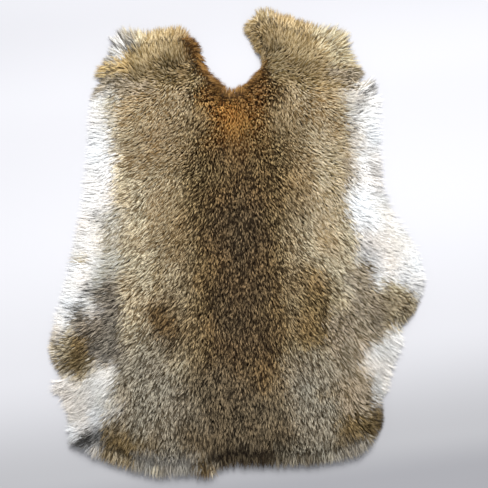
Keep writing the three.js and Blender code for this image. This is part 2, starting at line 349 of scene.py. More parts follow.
@dataclass(frozen=True)
class Arrow:
    """The lie of the hair at one place.

    Args:
        name: What part of the pelt it is.
        x: Place from DATUM, towards the right. On the rim it is where the tips of the hair end.
        y: Place from DATUM, towards the head.
        lie: Way in which the hair points, in degrees from the right-hand side.
        reach: How far the hair reaches, seen from above.
    """

    name: str
    x: float
    y: float
    lie: float
    reach: float

    def step(self) -> np.ndarray:
        """Gives the way from a hair's root to its tip, seen from above."""
        turn = math.radians(self.lie)
        return self.reach * np.array([math.cos(turn), math.sin(turn)])


RIM_ARROWS = (
    Arrow("left cheek tip", -124, 144, 172, 13),
    Arrow("left cheek side", -113, 161, 150, 11),
    Arrow("left cheek corner", -106, 181, 125, 17),
    Arrow("left cheek brow", -74, 183, 95, 12),
    Arrow("left cheek crown", -49, 186, 80, 11),
    Arrow("left notch shoulder", -33, 173, 20, 7),
    Arrow("left notch side", -24, 148, -25, 9),
    Arrow("left notch bend", -13, 137, 5, 8),
    Arrow("notch bottom", -6, 132, 88, 7),
    Arrow("right notch bend", 10, 139, 180, 6),
    Arrow("right notch side", 20, 153, 210, 2),
    Arrow("right notch wall", 12, 167, 205, 6),
    Arrow("right cheek inner", 3, 184, 180, 9),
    Arrow("right cheek crown", 21, 202, 95, 11),
    Arrow("right cheek brow", 53, 192, 78, 11),
    Arrow("right cheek corner", 96, 180, 45, 18),
    Arrow("right cheek side", 102, 161, 12, 14),
    Arrow("right cheek tip", 111, 144, 3, 12),
    Arrow("right nick", 104, 136, 0, 6),
    Arrow("right rim tuft", 120, 138, 40, 14),
    Arrow("right fore flank", 125, 116, 5, 15),
    Arrow("right mid flank", 125, 77, -5, 16),
    Arrow("right hind flank", 131, 33, -15, 16),
    Arrow("right leg front", 150, 1, -15, 15),
    Arrow("right leg tip", 162, -31, -12, 11),
    Arrow("right leg back", 153, -62, -45, 9),
    Arrow("right leg nick", 142, -74, -55, 10),
    Arrow("right fluff top", 142, -91, -40, 15),
    Arrow("right fluff", 132, -122, -35, 14),
    Arrow("right rump nick", 125, -140, -30, 9),
    Arrow("right rump corner", 126, -156, -25, 8),
    Arrow("right rump", 106, -184, -68, 12),
    Arrow("rump right", 70, -192, -88, 12),
    Arrow("rump", 21, -194, -90, 13),
    Arrow("tail base right", -13, -195, -88, 12),
    Arrow("tail tuft", -27, -205, -92, 15),
    Arrow("tail base left", -40, -201, -95, 12),
    Arrow("rump left", -74, -202, -95, 13),
    Arrow("left rump", -112, -190, -110, 13),
    Arrow("left rump corner", -146, -172, -150, 10),
    Arrow("left rump side", -147, -156, 190, 11),
    Arrow("left fluff low", -151, -138, 212, 16),
    Arrow("left fluff", -162, -128, 205, 19),
    Arrow("left leg nick", -151, -119, 215, 12),
    Arrow("left leg back", -160, -106, 205, 10),
    Arrow("left leg tip", -163, -89, 180, 10),
    Arrow("left leg front", -154, -50, 172, 13),
    Arrow("left hind flank", -141, 3, 172, 15),
    Arrow("left mid flank", -134, 43, 180, 15),
    Arrow("left fore flank", -130, 94, 180, 14),
    Arrow("left rim", -128, 117, 178, 12),
    Arrow("left lower tip", -125, 127, 187, 12),
    Arrow("left tip nick", -112, 136, 180, 2),
)

INNER_ARROWS = (
    Arrow("nape", -3, 110, -92, 5.9),
    Arrow("foot of the notch", -5, 122, -90, 5.3),
    Arrow("left wall of the notch", -26, 139, -110, 6),
    Arrow("right wall of the notch", 18, 140, -80, 6),
    Arrow("foot of the right cheek, inner", 28, 153, 12, 7),
    Arrow("fore back", 0, 69, -90, 5.9),
    Arrow("mid back", 2, 1, -90, 5.9),
    Arrow("hind back", 2, -76, -90, 5.9),
    Arrow("rump", 0, -152, -90, 5.9),
    Arrow("left of the nape", -36, 111, -105, 6.8),
    Arrow("right of the nape", 38, 111, -78, 6.8),
    Arrow("left shoulder", -74, 103, -118, 6.8),
    Arrow("right shoulder", 70, 103, -62, 6.8),
    Arrow("left side", -66, 35, -118, 7.5),
    Arrow("right side", 66, 35, -62, 7.5),
    Arrow("left flank", -98, 9, -128, 8.2),
    Arrow("right flank", 91, 9, -52, 8.2),
    Arrow("left border, fore", -104, 92, -146, 7),
    Arrow("left border", -104, 55, -138, 8),
    Arrow("right border, fore", 103, 92, -34, 7),
    Arrow("right border", 104, 55, -40, 8),
    Arrow("left hip", -74, -67, -122, 6.6),
    Arrow("right hip", 74, -67, -60, 6.6),
    Arrow("left haunch", -83, -135, -108, 6.6),
    Arrow("right haunch", 83, -135, -72, 6.6),
    Arrow("left rump", -57, -173, -98, 5.9),
    Arrow("right rump", 53, -173, -84, 5.9),
    Arrow("above the left parting", -83, 147, 112, 7.2),
    Arrow("above the left parting, inner", -49, 157, 96, 7.2),
    Arrow("left cheek", -74, 164, 102, 7.2),
    Arrow("left cheek, outer", -102, 154, 150, 7.2),
    Arrow("above the right parting", 83, 152, 35, 7.2),
    Arrow("right cheek", 53, 167, 72, 7.2),
    Arrow("right cheek, inner", 26, 167, 98, 7.2),
    Arrow("right cheek's foot", 53, 149, 60, 6.4),
    Arrow("left parting, outer", -100, 138, 180, 7.2),
    Arrow("left parting", -72, 138, 180, 6.4),
    Arrow("left parting, inner", -41, 144, 205, 7),
    Arrow("right parting, outer", 92, 141, 0, 7.2),
    Arrow("right parting", 66, 140, 2, 6.4),
    Arrow("right parting, inner", 42, 142, -30, 6.4),
    Arrow("below the left parting", -100, 123, -150, 7.2),
    Arrow("below the left parting, inner", -57, 127, -110, 6.4),
    Arrow("below the right parting", 83, 128, -25, 7.2),
    Arrow("below the right parting, inner", 49, 130, -70, 6.4),
    Arrow("left leg", -144, -88, -160, 7.2),
    Arrow("left leg's inside", -124, -84, -140, 7.2),
    Arrow("right leg", 140, -50, -22, 7.2),
    Arrow("right leg's inside", 118, -54, -35, 7.2),
    Arrow("left fluff", -124, -128, -132, 14),
    Arrow("right fluff", 119, -105, -58, 13),
)


@dataclass
class Nap:
    """The lie and reach of the hair all over the pelt, blended from arrows.

    Args:
        places: Where each arrow's hair is rooted.
        steps: Each arrow's way from root to tip.
        ease: Distance within which an arrow rules alone.
        sharpness: How fast an arrow's pull falls off.
        least_reach: Least reach of any hair.
        curl_below: Blended reach below which the hair curls one way or another, as in a parting.
        curl: The way in which it curls from place to place.
        curl_seed: Picks each hair's own difference from that.
        curl_spread: How large that difference is, in radians.
    """

    places: np.ndarray
    steps: np.ndarray
    ease: float = 5.0
    sharpness: float = 1.8
    least_reach: float = 3.0
    curl_below: float = 5.0
    curl: SoftNoise = SoftNoise(77, 5, 5)
    curl_seed: int = 78
    curl_spread: float = 0.6

    @classmethod
    def of_rim(cls) -> "Nap":
        """Makes the nap of the hair that hangs over the hide's edge.

        Returns:
            The nap.
        """
        steps = np.array([arrow.step() for arrow in RIM_ARROWS])
        tips = np.array([(arrow.x, arrow.y) for arrow in RIM_ARROWS]) + DATUM
        return cls(tips - steps, steps, ease=2.0, sharpness=2.5, curl_below=0.1)

    @classmethod
    def of_coat(cls, shortest: float = 6.0) -> "Nap":
        """Makes the nap of the whole coat, without the bare-edged stretches of the rim.

        Args:
            shortest: Rim arrows that reach less than this are left out.

        Returns:
            The nap.
        """
        rim = [arrow for arrow in RIM_ARROWS if arrow.reach >= shortest]
        rim_steps = np.array([arrow.step() for arrow in rim])
        rim_places = np.array([(arrow.x, arrow.y) for arrow in rim]) - rim_steps
        inner_steps = np.array([arrow.step() for arrow in INNER_ARROWS])
        inner_places = np.array([(arrow.x, arrow.y) for arrow in INNER_ARROWS])
        places = np.concatenate((rim_places, inner_places)) + DATUM
        return cls(places, np.concatenate((rim_steps, inner_steps)))

    def at(self, points: np.ndarray) -> tuple[np.ndarray, np.ndarray]:
        """Gives the lie and reach at each point.

        Args:
            points: Places of roots, one a row.

        Returns:
            The angle of the lie in radians, and the reach.
        """
        square = ((points[:, None, :] - self.places[None]) ** 2).sum(2)
        pull = 1 / (square + self.ease**2) ** self.sharpness
        pull /= pull.sum(1, keepdims=True)
        step = pull @ self.steps
        loose = np.clip(1 - np.linalg.norm(step, axis=1) / self.curl_below, 0, 1)
        turn = 2 * math.pi * self.curl.at(points)
        turn += np.random.default_rng(self.curl_seed).normal(0, self.curl_spread, len(points))
        step += (self.curl_below * loose)[:, None] * np.column_stack((np.cos(turn), np.sin(turn)))
        return np.arctan2(step[:, 1], step[:, 0]), np.maximum(np.linalg.norm(step, axis=1), self.least_reach)


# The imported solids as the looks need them


@dataclass
class CoatForm:
    """Height of the coat over the floor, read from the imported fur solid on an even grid.

    Args:
        pitch: Step of the grid.
        margin: How far the grid reaches past the solid.
        blur: Width over which the heights are evened out.
        least: Height of the lowest hair over the floor.
    """

    pitch: float = 1.5
    margin: float = 24.0
    blur: float = 2.6
    least: float = 0.5
    low: np.ndarray = field(init=False)
    heights: np.ndarray = field(init=False)

    def __post_init__(self) -> None:
        """Casts a ray down at each place of the grid, from a metre up, and evens the heights out."""
        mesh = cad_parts["fur"].data
        tree = BVHTree.FromPolygons([v.co for v in mesh.vertices], [p.vertices[:] for p in mesh.polygons])
        low, high = (np.array(corner[:2]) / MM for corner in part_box("fur"))
        self.low = low - self.margin
        columns, rows = np.ceil((high + self.margin - self.low) / self.pitch).astype(int)
        self.heights = np.zeros((columns, rows))
        for i, j in np.ndindex(columns, rows):
            x, y = (self.low + self.pitch * np.array([i, j])) * MM
            hit = tree.ray_cast(Vector((x, y, 1.0)), Vector((0, 0, -1)))[0]
            self.heights[i, j] = hit.z / MM if hit else 0
        # Three times the blur's width to both sides holds nearly all of its bell curve
        spread = math.ceil(3 * self.blur / self.pitch)
        weights = np.exp(-0.5 * (np.arange(-spread, spread + 1) * self.pitch / self.blur) ** 2)
        weights /= weights.sum()
        for axis in (0, 1):
            self.heights = np.apply_along_axis(np.convolve, axis, self.heights, weights, "same")

    def at(self, points: np.ndarray) -> np.ndarray:
        """Gives the coat's height at each point.

        Args:
            points: Places in the plane, one a row.

        Returns:
            One height a point, blended from the four places of the grid round it.
        """
        last = np.array(self.heights.shape) - 1.001
        cell = np.clip((points - self.low) / self.pitch, 0, last)
        i, j = cell.astype(int).T
        u, v = (cell - cell.astype(int)).T
        near = self.heights[i, j] * (1 - u) + self.heights[i + 1, j] * u
        far = self.heights[i, j + 1] * (1 - u) + self.heights[i + 1, j + 1] * u
        return np.maximum(near * (1 - v) + far * v, self.least)

    def slope(self, points: np.ndarray) -> np.ndarray:
        """Gives the upward normal of the coat's surface at each point.

        Args:
            points: Places in the plane, one a row.

        Returns:
            One unit vector a point.
        """
        step = self.pitch * np.eye(2)
        rise = [(self.at(points + s) - self.at(points - s)) / (2 * self.pitch) for s in step]
        normal = np.column_stack((-rise[0], -rise[1], np.ones(len(points))))
        return normal / np.linalg.norm(normal, axis=1, keepdims=True)


@dataclass
class Edge:
    """The hide's edge as a closed line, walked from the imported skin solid.

    Args:
        touch: Height within which a corner counts as one on the floor.
        upright: Slope of a face's normal below which the face counts as upright.
        digits: Decimals of a millimetre to which two corners agree that are the same.
    """

    touch: float = 0.01
    upright: float = 0.5
    digits: int = 2
    points: np.ndarray = field(init=False)

    def __post_init__(self) -> None:
        """Joins the lower sides of the skin's upright faces end to end."""
        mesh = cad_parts["skin"].data
        floor = min(v.co.z for v in mesh.vertices) + self.touch * MM
        following: dict[tuple, tuple] = {}
        for face in mesh.polygons:
            if abs(face.normal.z) >= self.upright:
                continue
            corners = [mesh.vertices[v].co for v in face.vertices]
            for side in zip(corners, corners[1:] + corners[:1]):
                if all(corner.z < floor for corner in side):
                    start, end = (tuple(round(c / MM, self.digits) for c in corner.xy) for corner in side)
                    following[start] = end
        first = next(iter(following))
        line = [first]
        while following[line[-1]] != first:
            line.append(following[line[-1]])
        self.points = np.array(line)

    def ends(self) -> tuple[np.ndarray, np.ndarray]:
        """Gives each segment's start and the step to its end."""
        return self.points, np.roll(self.points, -1, 0) - self.points

    def contains(self, points: np.ndarray) -> np.ndarray:
        """Says whether each point lies on the hide.

        Args:
            points: Places in the plane, one a row.

        Returns:
            True for each point within the edge.
        """
        inside = np.zeros(len(points), bool)
        for start, step in zip(*self.ends()):
            low, high = sorted((start[1], start[1] + step[1]))
            level = (points[:, 1] >= low) & (points[:, 1] < high)
            if step[1]:
                crossing = start[0] + step[0] * (points[:, 1] - start[1]) / step[1]
                inside ^= level & (points[:, 0] < crossing)
        return inside

    def distance(self, points: np.ndarray) -> np.ndarray:
        """Gives each point's distance to the edge.

        Args:
            points: Places in the plane, one a row.

        Returns:
            One distance a point.
        """
        least = np.full(len(points), np.inf)
        for start, step in zip(*self.ends()):
            share = np.clip((points - start) @ step / (step @ step), 0, 1)
            away = np.linalg.norm(points - start - share[:, None] * step, axis=1)
            least = np.minimum(least, away)
        return least

    def walk(self, shares: np.ndarray) -> np.ndarray:
        """Gives places on the edge.

        Args:
            shares: How far along the edge's length each place is, from 0 to 1.

        Returns:
            The places, one a row.
        """
        starts, steps = self.ends()
        lengths = np.linalg.norm(steps, axis=1)
        marks = np.concatenate(([0], np.cumsum(lengths))) / lengths.sum()
        segment = np.clip(np.searchsorted(marks, shares, "right") - 1, 0, len(starts) - 1)
        part = (shares - marks[segment]) / (marks[segment + 1] - marks[segment])
        return starts[segment] + part[:, None] * steps[segment]


# Meshes and materials


def mesh_object(name: str, vertices: np.ndarray, triangles: np.ndarray) -> Object:
    """Makes an object from triangles and puts it in the scene.

    Args:
        name: The piece's name.
        vertices: Places in millimetres, one a row.
        triangles: Three vertex numbers a row.

    Returns:
        The object.
    """
    mesh = bpy.data.meshes.new(name)
    mesh.vertices.add(len(vertices))
    mesh.vertices.foreach_set("co", (vertices * MM).astype(np.float32).ravel())
    mesh.loops.add(triangles.size)
    mesh.loops.foreach_set("vertex_index", triangles.astype(np.int32).ravel())
    mesh.polygons.add(len(triangles))
    mesh.polygons.foreach_set("loop_start", np.arange(0, triangles.size, 3, dtype=np.int32))
    mesh.polygons.foreach_set("use_smooth", np.ones(len(triangles), bool))
    mesh.update(calc_edges=True)
    made = bpy.data.objects.new(name, mesh)
    bpy.context.scene.collection.objects.link(made)
    return made


def paint(mesh: Mesh, name: str, colours: np.ndarray) -> None:
    """Stores a linear colour for each vertex of a mesh under a name."""
    layer = mesh.color_attributes.new(name, "FLOAT_COLOR", "POINT")
    layer.data.foreach_set("color", np.column_stack((colours, np.ones(len(colours)))).ravel())


def measure(mesh: Mesh, name: str, values: np.ndarray) -> None:
    """Stores a number for each vertex of a mesh under a name."""
    mesh.attributes.new(name, "FLOAT", "POINT").data.foreach_set("value", values.astype(np.float32))


def add_node(tree: NodeTree, kind: str, settings: dict | None = None, links: dict | None = None) -> Node:
    """Adds a node to a material.

    Args:
        tree: The material's nodes.
        kind: The node's type.
        settings: Values for its properties, or for its inputs where it has no such property.
        links: Output sockets for its inputs.

    Returns:
        The node.
    """
    node = tree.nodes.new(kind)
    for name, value in (settings or {}).items():
        if isinstance(name, str) and hasattr(node, name):
            setattr(node, name, value)
        else:
            node.inputs[name].default_value = value
    for name, output in (links or {}).items():
        tree.links.new(output, node.inputs[name])
    return node


def varied(
    tree: NodeTree, colour: NodeSocket, noise: Node, least: float, most: float
) -> NodeSocket:
    """Makes a colour darker in some places and lighter in others.

    Args:
        tree: The material's nodes.
        colour: The colour.
        noise: Picks the places.
        least: What the colour is scaled by where it is darkest.
        most: What it is scaled by where it is lightest.

    Returns:
        The varied colour.
    """
    reach = {"From Min": 0.3, "From Max": 0.7, "To Min": least, "To Max": most}
    light = add_node(tree, "ShaderNodeMapRange", reach, {"Value": noise.outputs["Fac"]})
    both = {0: colour, "Scale": light.outputs["Result"]}
    return add_node(tree, "ShaderNodeVectorMath", {"operation": "SCALE"}, both).outputs["Vector"]


class Finish(ABC):
    """A material, built round the shader that each kind of it adds in its own way."""

    name: str

    @abstractmethod
    def shader(self, tree: NodeTree) -> Node:
        """Adds the shader, and the nodes that lead to it, to a material's nodes."""

    def make(self) -> Material:
        """Builds the material.

        Returns:
            The material.
        """
        material = bpy.data.materials.new(self.name)
        material.use_nodes = True
        tree = material.node_tree
        tree.nodes.clear()
        surface = self.shader(tree).outputs["BSDF"]
        add_node(tree, "ShaderNodeOutputMaterial", links={"Surface": surface})
        return material


@dataclass(frozen=True)
class Hair(Finish):
    """Rabbit hair, grown and left as it is.

    The shaft is slate by the skin, has a pale band below its tip and ends in a tip of its own
    colour, so a coat of it looks ticked. Its scales scatter the light: soft, with little gloss.

    Args:
        name: The material's name.
        band_from: Share of the hair's length where the underfur's colour ends.
        tip_from: Share of its length where the tip's colour starts.
        band_fade: Share of its length over which the underfur's colour gives way to the band's.
        tip_fade: Share of its length over which the band's colour gives way to the tip's.
        roughness: Of the hair's surface.
        gloss: How much of the light the surface itself throws back.
        streak: Length of the light and dark stretches within the hair, drawn some ten times as
            long as a hair's scales, which are too fine to show.
    """

    name: str
    band_from: float
    tip_from: float
    band_fade: float = 0.22
    tip_fade: float = 0.16
    roughness: float = 0.62
    gloss: float = 0.07
    streak: float = 1.6

    def shader(self, tree: NodeTree) -> Node:
        """Adds the shader, whose colour changes along the hair.

        Args:
            tree: The material's nodes.

        Returns:
            The shader.
        """
        along, under, band, tip = (
            add_node(tree, "ShaderNodeAttribute", {"attribute_name": name}) for name in ("along", *HAIR_PARTS)
        )
        colour = under.outputs["Color"]
        band_change = (self.band_from - self.band_fade, self.band_from, band)
        tip_change = (self.tip_from, self.tip_from + self.tip_fade, tip)
        for start, end, part in (band_change, tip_change):
            stretch = {"interpolation_type": "SMOOTHSTEP", "From Min": start, "From Max": end}
            share = add_node(tree, "ShaderNodeMapRange", stretch, {"Value": along.outputs["Fac"]})
            both = {"Factor": share.outputs["Result"], 6: colour, 7: part.outputs["Color"]}
            colour = add_node(tree, "ShaderNodeMix", {"data_type": "RGBA"}, both).outputs[2]
        place = add_node(tree, "ShaderNodeTexCoord").outputs["Object"]
        grain = {"Scale": 1 / (self.streak * MM), "Detail": 2.0, "Roughness": 0.6}
        streaks = add_node(tree, "ShaderNodeTexNoise", grain, {"Vector": place})
        colour = varied(tree, colour, streaks, 0.86, 1.14)
        surface = {"Roughness": self.roughness, "Specular IOR Level": self.gloss, "IOR": 1.55}
        return add_node(tree, "ShaderNodeBsdfPrincipled", surface, {"Base Color": colour})


@dataclass(frozen=True)
class Down(Finish):
    """Underfur: fine, dense, matted wool by the skin, dull and full of shadow.

    Args:
        name: The material's name.
        mat: Size of its matted clumps.
        fibre: Size of its fibres, drawn some ten times as coarse as they are.
        relief: How far its fibres stand out.
    """

    name: str = "Rabbit_underfur"
    mat: float = 3.0
    fibre: float = 0.5
    relief: float = 0.4

    def shader(self, tree: NodeTree) -> Node:
        """Adds the shader, with painted shade darkening the wool between its clumps.

        Args:
            tree: The material's nodes.

        Returns:
            The shader.
        """
        under = add_node(tree, "ShaderNodeAttribute", {"attribute_name": "under"}).outputs["Color"]
        place = add_node(tree, "ShaderNodeTexCoord").outputs["Object"]
        clump_shade, fibres = (
            add_node(tree, "ShaderNodeTexNoise", {"Scale": 1 / (size * MM), "Detail": 3.0}, {"Vector": place})
            for size in (self.mat, self.fibre)
        )
        # Painted shade: the wool is darker between its matted clumps
        colour = varied(tree, under, clump_shade, 0.55, 1.05)
        rise = {"Strength": 0.8, "Distance": self.relief * MM}
        bump = add_node(tree, "ShaderNodeBump", rise, {"Height": fibres.outputs["Fac"]})
        surface = {"Roughness": 0.95, "Specular IOR Level": 0.1}
        inputs = {"Base Color": colour, "Normal": bump.outputs["Normal"]}
        return add_node(tree, "ShaderNodeBsdfPrincipled", surface, inputs)


@dataclass(frozen=True)
class TannedHide(Finish):
    """Alum-tanned rabbit leather, fleshed and buffed: matt, cream, with a faint suede nap.

    Args:
        name: The material's name.
        pale: Its own colour.
        warm: Colour where more of the tan and fat stayed in.
        cloud: Size of the clouds of the two colours.
        nap: Size of the suede's fibres, drawn some five times as coarse as they are.
        relief: How far the fibres stand out.
    """

    name: str = "Alum_tanned_rabbit_leather"
    pale: str = "#e6dcc6"
    warm: str = "#cfb894"
    cloud: float = 28.0
    nap: float = 0.6
    relief: float = 0.25

    def shader(self, tree: NodeTree) -> Node:
        """Adds the shader, clouded in two colours.

        Args:
            tree: The material's nodes.

        Returns:
            The shader.
        """
        place = add_node(tree, "ShaderNodeTexCoord").outputs["Object"]
        grain = {"Detail": 5.0, "Roughness": 0.62}
        clouds, nap = (
            add_node(tree, "ShaderNodeTexNoise", {"Scale": 1 / (size * MM), **grain}, {"Vector": place})
            for size in (self.cloud, self.nap)
        )
        stretch = {"From Min": 0.35, "From Max": 0.7}
        share = add_node(tree, "ShaderNodeMapRange", stretch, {"Value": clouds.outputs["Fac"]})
        tones = {"data_type": "RGBA", 6: (*linear(self.pale), 1), 7: (*linear(self.warm), 1)}
        colour = add_node(tree, "ShaderNodeMix", tones, {"Factor": share.outputs["Result"]}).outputs[2]
        rise = {"Strength": 0.5, "Distance": self.relief * MM}
        bump = add_node(tree, "ShaderNodeBump", rise, {"Height": nap.outputs["Fac"]})
        surface = {"Roughness": 0.88, "Specular IOR Level": 0.25, "Sheen Weight": 0.15}
        inputs = {"Base Color": colour, "Normal": bump.outputs["Normal"]}
        return add_node(tree, "ShaderNodeBsdfPrincipled", surface, inputs)


@dataclass(frozen=True)
class StudioPaper(Finish):
    """Matt studio paper with painted shade that changes slowly from the tail end to the head end, darkest
    just past the tail end.

    Args:
        name: The material's name.
        painted_shades: The paper's painted shade from the tail end to the head end, each with its place.
        fall: Way in which the painted shade changes over the floor.
    """

    name: str = "Studio_paper_painted_shade"
    # Painted shade: darkest just past the tail end, where the light falls off, and a little darker towards
    # the head end
    painted_shades: tuple[tuple[float, str], ...] = (
        (-460, "#c6c6ca"),
        (-216, "#949498"),
        (-182, "#a5a5a8"),
        (-90, "#c1c1c5"),
        (0, "#c4c4c8"),
        (130, "#b9b9bd"),
        (215, "#adadb1"),
    )
    fall: tuple[float, float, float] = (-0.12, 1.0, 0.0)

    def shader(self, tree: NodeTree) -> Node:
        """Adds the shader, with a ramp of the painted shade.

        Args:
            tree: The material's nodes.

        Returns:
            The shader.
        """
        first, last = self.painted_shades[0][0], self.painted_shades[-1][0]
        place = add_node(tree, "ShaderNodeTexCoord").outputs["Object"]
        way = {"operation": "DOT_PRODUCT", 1: self.fall}
        length = add_node(tree, "ShaderNodeVectorMath", way, {0: place}).outputs["Value"]
        stretch = {"From Min": first * MM, "From Max": last * MM}
        share = add_node(tree, "ShaderNodeMapRange", stretch, {"Value": length})
        ramp = add_node(tree, "ShaderNodeValToRGB", links={"Fac": share.outputs["Result"]})
        ramp.color_ramp.interpolation = "EASE"
        stops = ramp.color_ramp.elements
        for number, (at, shade) in enumerate(self.painted_shades):
            stop = stops[number] if number < len(stops) else stops.new(1)
            stop.position = (at - first) / (last - first)
            stop.color = (*linear(shade), 1)
        surface = {"Roughness": 0.9, "Specular IOR Level": 0.2}
        return add_node(tree, "ShaderNodeBsdfPrincipled", surface, {"Base Color": ramp.outputs["Color"]})


# The pieces


# Least heights over the floor of a hair's root, just over the hide's face, and of its bend
ROOT_LEVEL = 1.4
BEND_LEVEL = 1.5

# The thinnest and the widest hair, as shares of their piece's width
WIDTHS = (0.7, 1.2)


def filled_outline(edge: np.ndarray, inner: np.ndarray) -> tuple[np.ndarray, np.ndarray]:
    """Triangulates the area within a closed line, through extra points inside it.

    Args:
        edge: The closed line's points.
        inner: The points inside it.

    Returns:
        The points, the line's first, and the triangles, facing up.
    """
    points = np.concatenate((edge, inner))
    count = len(edge)
    sides = [(i, (i + 1) % count) for i in range(count)]
    vertices = [Vector(point) for point in points]
    placed, _, faces, *_ = delaunay_2d_cdt(vertices, sides, [], 1, 1e-6)
    placed = np.array(placed)
    triangles = np.array(faces)
    a, b, c = (placed[triangles[:, k]] for k in range(3))
    turned = (b[:, 0] - a[:, 0]) * (c[:, 1] - a[:, 1]) - (b[:, 1] - a[:, 1]) * (c[:, 0] - a[:, 0]) < 0
    triangles[turned] = triangles[turned][:, ::-1]
    return placed, triangles


def closed_sheet(
    points: np.ndarray, triangles: np.ndarray, edge_count: int, top: np.ndarray, bottom: np.ndarray
) -> tuple[np.ndarray, np.ndarray]:
    """Closes a triangulated area to a sheet with a top, an underside and a side all round.

    Args:
        points: The area's points, those of its edge first.
        triangles: Its triangles, facing up.
        edge_count: How many points the edge has.
        top: Height of each point's upper face.
        bottom: Height of each point's underside.

    Returns:
        The sheet's vertices and triangles.
    """
    count = len(points)
    vertices = np.concatenate((np.column_stack((points, top)), np.column_stack((points, bottom))))
    here = np.arange(edge_count)
    following = np.roll(here, -1)
    x, y = points[:edge_count].T
    if (x * np.roll(y, -1) - y * np.roll(x, -1)).sum() < 0:
        here, following = following, here
    side = np.concatenate(
        (
            np.column_stack((here, here + count, following + count)),
            np.column_stack((here, following + count, following)),
        )
    )
    return vertices, np.concatenate((triangles, triangles[:, ::-1] + count, side))


@dataclass
class Hide:
    """The tanned skin, a thin sheet that lies flat on the floor.

    Args:
        edge: The hide's edge.
        pitch: Step between the points of its faces.
        thickness: Of the sheet.
        unevenness: How far its upper face rises and falls.
        waves: The places where it does.
        finish: Its leather.
    """

    edge: Edge
    pitch: float = 7.0
    thickness: float = 1.1
    unevenness: float = 0.1
    waves: SoftNoise = SoftNoise(52, 25, 25)
    finish: TannedHide = TannedHide()

    def build(self) -> Object:
        """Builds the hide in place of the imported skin.

        Returns:
            The hide.
        """
        inner = grid_within(self.edge, self.pitch, clear=self.pitch / 2, jitter=0.3, seed=51)
        points, triangles = filled_outline(self.edge.points, inner)
        top = self.thickness + self.unevenness * self.waves.at(points)
        vertices, faces = closed_sheet(points, triangles, len(self.edge.points), top, np.zeros(len(points)))
        made = mesh_object("tanned_hide", vertices, faces)
        made.data.polygons.foreach_set("use_smooth", np.zeros(len(faces), bool))
        made.data.materials.append(self.finish.make())
        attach(made, "root")
        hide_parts("skin")
        return made


def grid_within(edge: Edge, pitch: float, clear: float, jitter: float, seed: int) -> np.ndarray:
    """Lays a shaken grid of places over the hide.

    Args:
        edge: The hide's edge.
        pitch: Step of the grid.
        clear: Least distance from a place to the edge.
        jitter: How far a place may move, as a share of the pitch.
        seed: Picks the moves.

    Returns:
        The places, one a row.
    """
    low, high = edge.points.min(0), edge.points.max(0)
    columns, rows = (np.arange(a, b, pitch) for a, b in zip(low, high))
    grid = np.stack(np.meshgrid(columns, rows, indexing="ij"), -1)
    grid[:, ::2, 0] += pitch / 2
    places = grid.reshape(-1, 2)
    places = places + np.random.default_rng(seed).uniform(-jitter, jitter, places.shape) * pitch
    places = places[edge.contains(places)]
    return places[edge.distance(places) > clear] if clear else places


@dataclass
class Underfur:
    """The dense wool below the hair, a low lumpy cushion on the hide.

    Args:
        edge: The hide's edge.
        form: The coat's height.
        colours: The coat's colours.
        pitch: Step between its points.
        depth: Its height, as a share of the coat's.
        tuft: How far its tufts rise.
        tufting: The places where they do.
        seat: Height of its underside over the floor.
        rim: Its thickness at the hide's edge.
        least: How much thicker than that it is elsewhere, at least.
        finish: Its wool.
    """

    edge: Edge
    form: CoatForm
    colours: CoatColours
    pitch: float = 3.0
    depth: float = 0.55
    tuft: float = 0.7
    tufting: SoftNoise = SoftNoise(62, 3, 5)
    seat: float = 1.3
    rim: float = 0.4
    least: float = 0.6
    finish: Down = Down()

    def build(self) -> Object:
        """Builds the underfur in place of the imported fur.

        Returns:
            The underfur.
        """
        inner = grid_within(self.edge, self.pitch, clear=self.pitch / 2, jitter=0.35, seed=61)
        points, triangles = filled_outline(self.edge.points, inner)
        rise = self.form.at(points) * self.depth + self.tuft * self.tufting.at(points)
        inset = np.minimum(self.edge.distance(points) / (2 * self.pitch), 1)
        top = self.seat + self.rim + np.maximum(rise - self.seat, self.least) * smooth_step(inset)
        bottom = np.full(len(points), self.seat)
        vertices, faces = closed_sheet(points, triangles, len(self.edge.points), top, bottom)
        made = mesh_object("underfur", vertices, faces)
        under = self.colours.at(points)["under"]
        paint(made.data, "under", np.concatenate((under, under)))
        made.data.materials.append(self.finish.make())
        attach(made, "root")
        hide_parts("fur")
        return made


@dataclass
class Tufts:
    """The small tufts that the hair gathers into, all over the hide.

    Args:
        edge: The hide's edge.
        nap: How the hair lies.
        spacing: Between tufts.
        sway: How far a tuft's lie differs from the nap's, in radians.
        ragged: How far its reach differs from the nap's, as a share.
        rise: How far it stands above or below the coat's surface.
        astray: How far off the place is whose colours it has, so that borders mix tuft by tuft.
        seed: Picks their places and tones.
    """

    edge: Edge
    nap: Nap
    spacing: float = 1.19
    sway: float = 0.16
    ragged: float = 0.15
    rise: float = 0.8
    astray: float = 2.6
    seed: int = 71
    roots: np.ndarray = field(init=False)
    lie: np.ndarray = field(init=False)
    reach: np.ndarray = field(init=False)
    tone: np.ndarray = field(init=False)
    lift: np.ndarray = field(init=False)
    stray: np.ndarray = field(init=False)

    def __post_init__(self) -> None:
        """Places the tufts and gives each its lie, reach, tone, lift and the place of its colours."""
        rng = np.random.default_rng(self.seed)
        self.roots = grid_within(self.edge, self.spacing, clear=0, jitter=0.45, seed=self.seed)
        lie, reach = self.nap.at(self.roots)
        count = len(self.roots)
        # Each is a tuft's own difference and a smaller one that it shares with its neighbours
        self.lie = lie + 0.2 * SoftNoise(72, 7, 11).at(self.roots) + rng.normal(0, self.sway, count)
        self.reach = reach * rng.uniform(1 - self.ragged, 1 + self.ragged, count)
        self.tone = rng.uniform(0, 1, count) + 0.1 * SoftNoise(73, 6, 10).at(self.roots)
        self.lift = rng.normal(0, self.rise, count) + 0.3 * SoftNoise(75, 7, 11).at(self.roots)
        self.stray = rng.normal(0, self.astray, (count, 2))


